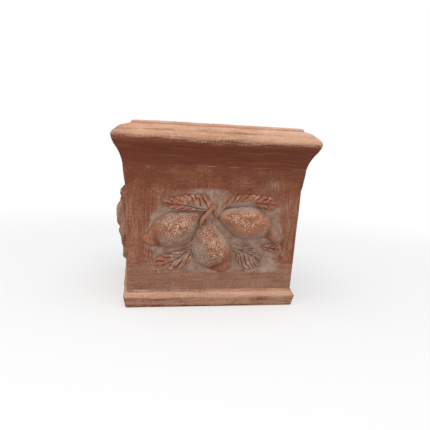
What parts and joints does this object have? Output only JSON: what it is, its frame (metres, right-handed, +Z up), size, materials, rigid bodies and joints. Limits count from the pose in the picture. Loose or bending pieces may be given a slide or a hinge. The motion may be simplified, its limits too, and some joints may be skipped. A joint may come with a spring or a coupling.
{
  "type": "square terracotta planter",
  "caption": "Square terracotta planter with leaning walls, a moulded rim and foot, and a spray of lemons and leaves in high relief on each wall.",
  "frame": {"origin": "middle of the square face that the planter rests on", "axes": "+Z up; -Y is the wall shown in the picture, +X to its right"},
  "size_m": [0.4, 0.4, 0.36],
  "materials": {
    "terracotta_wall": "matt, brushed with thin slip",
    "terracotta_moulding": "matt, rubbed lighter on its upper edges",
    "terracotta_fruit": "matt, pitted",
    "terracotta_leaf": "matt, veined",
    "terracotta_inside": "matt, unfinished clay"
  },
  "bodies": {
    "root": {"floor_slab": "terracotta_inside", "wall_front": "terracotta_wall", "rim_front": "terracotta_moulding", "foot_front": "terracotta_moulding", "floor_coil_front": "terracotta_inside", "front_lemon_left": "terracotta_fruit", "front_lemon_right": "terracotta_fruit", "front_lemon_low": "terracotta_fruit", "front_leaf_top_left": "terracotta_leaf", "front_leaf_top_right": "terracotta_leaf", "front_leaf_low_left": "terracotta_leaf", "front_leaf_low_right": "terracotta_leaf", "front_leaf_side_right": "terracotta_leaf", "front_twig": "terracotta_leaf", "wall_right": "terracotta_wall", "rim_right": "terracotta_moulding", "foot_right": "terracotta_moulding", "floor_coil_right": "terracotta_inside", "right_lemon_left": "terracotta_fruit", "right_lemon_right": "terracotta_fruit", "right_lemon_low": "terracotta_fruit", "right_leaf_top_left": "terracotta_leaf", "right_leaf_top_right": "terracotta_leaf", "right_leaf_low_left": "terracotta_leaf", "right_leaf_low_right": "terracotta_leaf", "right_leaf_side_right": "terracotta_leaf", "right_twig": "terracotta_leaf", "wall_back": "terracotta_wall", "rim_back": "terracotta_moulding", "foot_back": "terracotta_moulding", "floor_coil_back": "terracotta_inside", "back_lemon_left": "terracotta_fruit", "back_lemon_right": "terracotta_fruit", "back_lemon_low": "terracotta_fruit", "back_leaf_top_left": "terracotta_leaf", "back_leaf_top_right": "terracotta_leaf", "back_leaf_low_left": "terracotta_leaf", "back_leaf_low_right": "terracotta_leaf", "back_leaf_side_right": "terracotta_leaf", "back_twig": "terracotta_leaf", "wall_left": "terracotta_wall", "rim_left": "terracotta_moulding", "foot_left": "terracotta_moulding", "floor_coil_left": "terracotta_inside", "left_lemon_left": "terracotta_fruit", "left_lemon_right": "terracotta_fruit", "left_lemon_low": "terracotta_fruit", "left_leaf_top_left": "terracotta_leaf", "left_leaf_top_right": "terracotta_leaf", "left_leaf_low_left": "terracotta_leaf", "left_leaf_low_right": "terracotta_leaf", "left_leaf_side_right": "terracotta_leaf", "left_twig": "terracotta_leaf", "corner_coil_front_right": "terracotta_inside", "corner_coil_back_right": "terracotta_inside", "corner_coil_back_left": "terracotta_inside", "corner_coil_front_left": "terracotta_inside"}
  },
  "joints": []
}
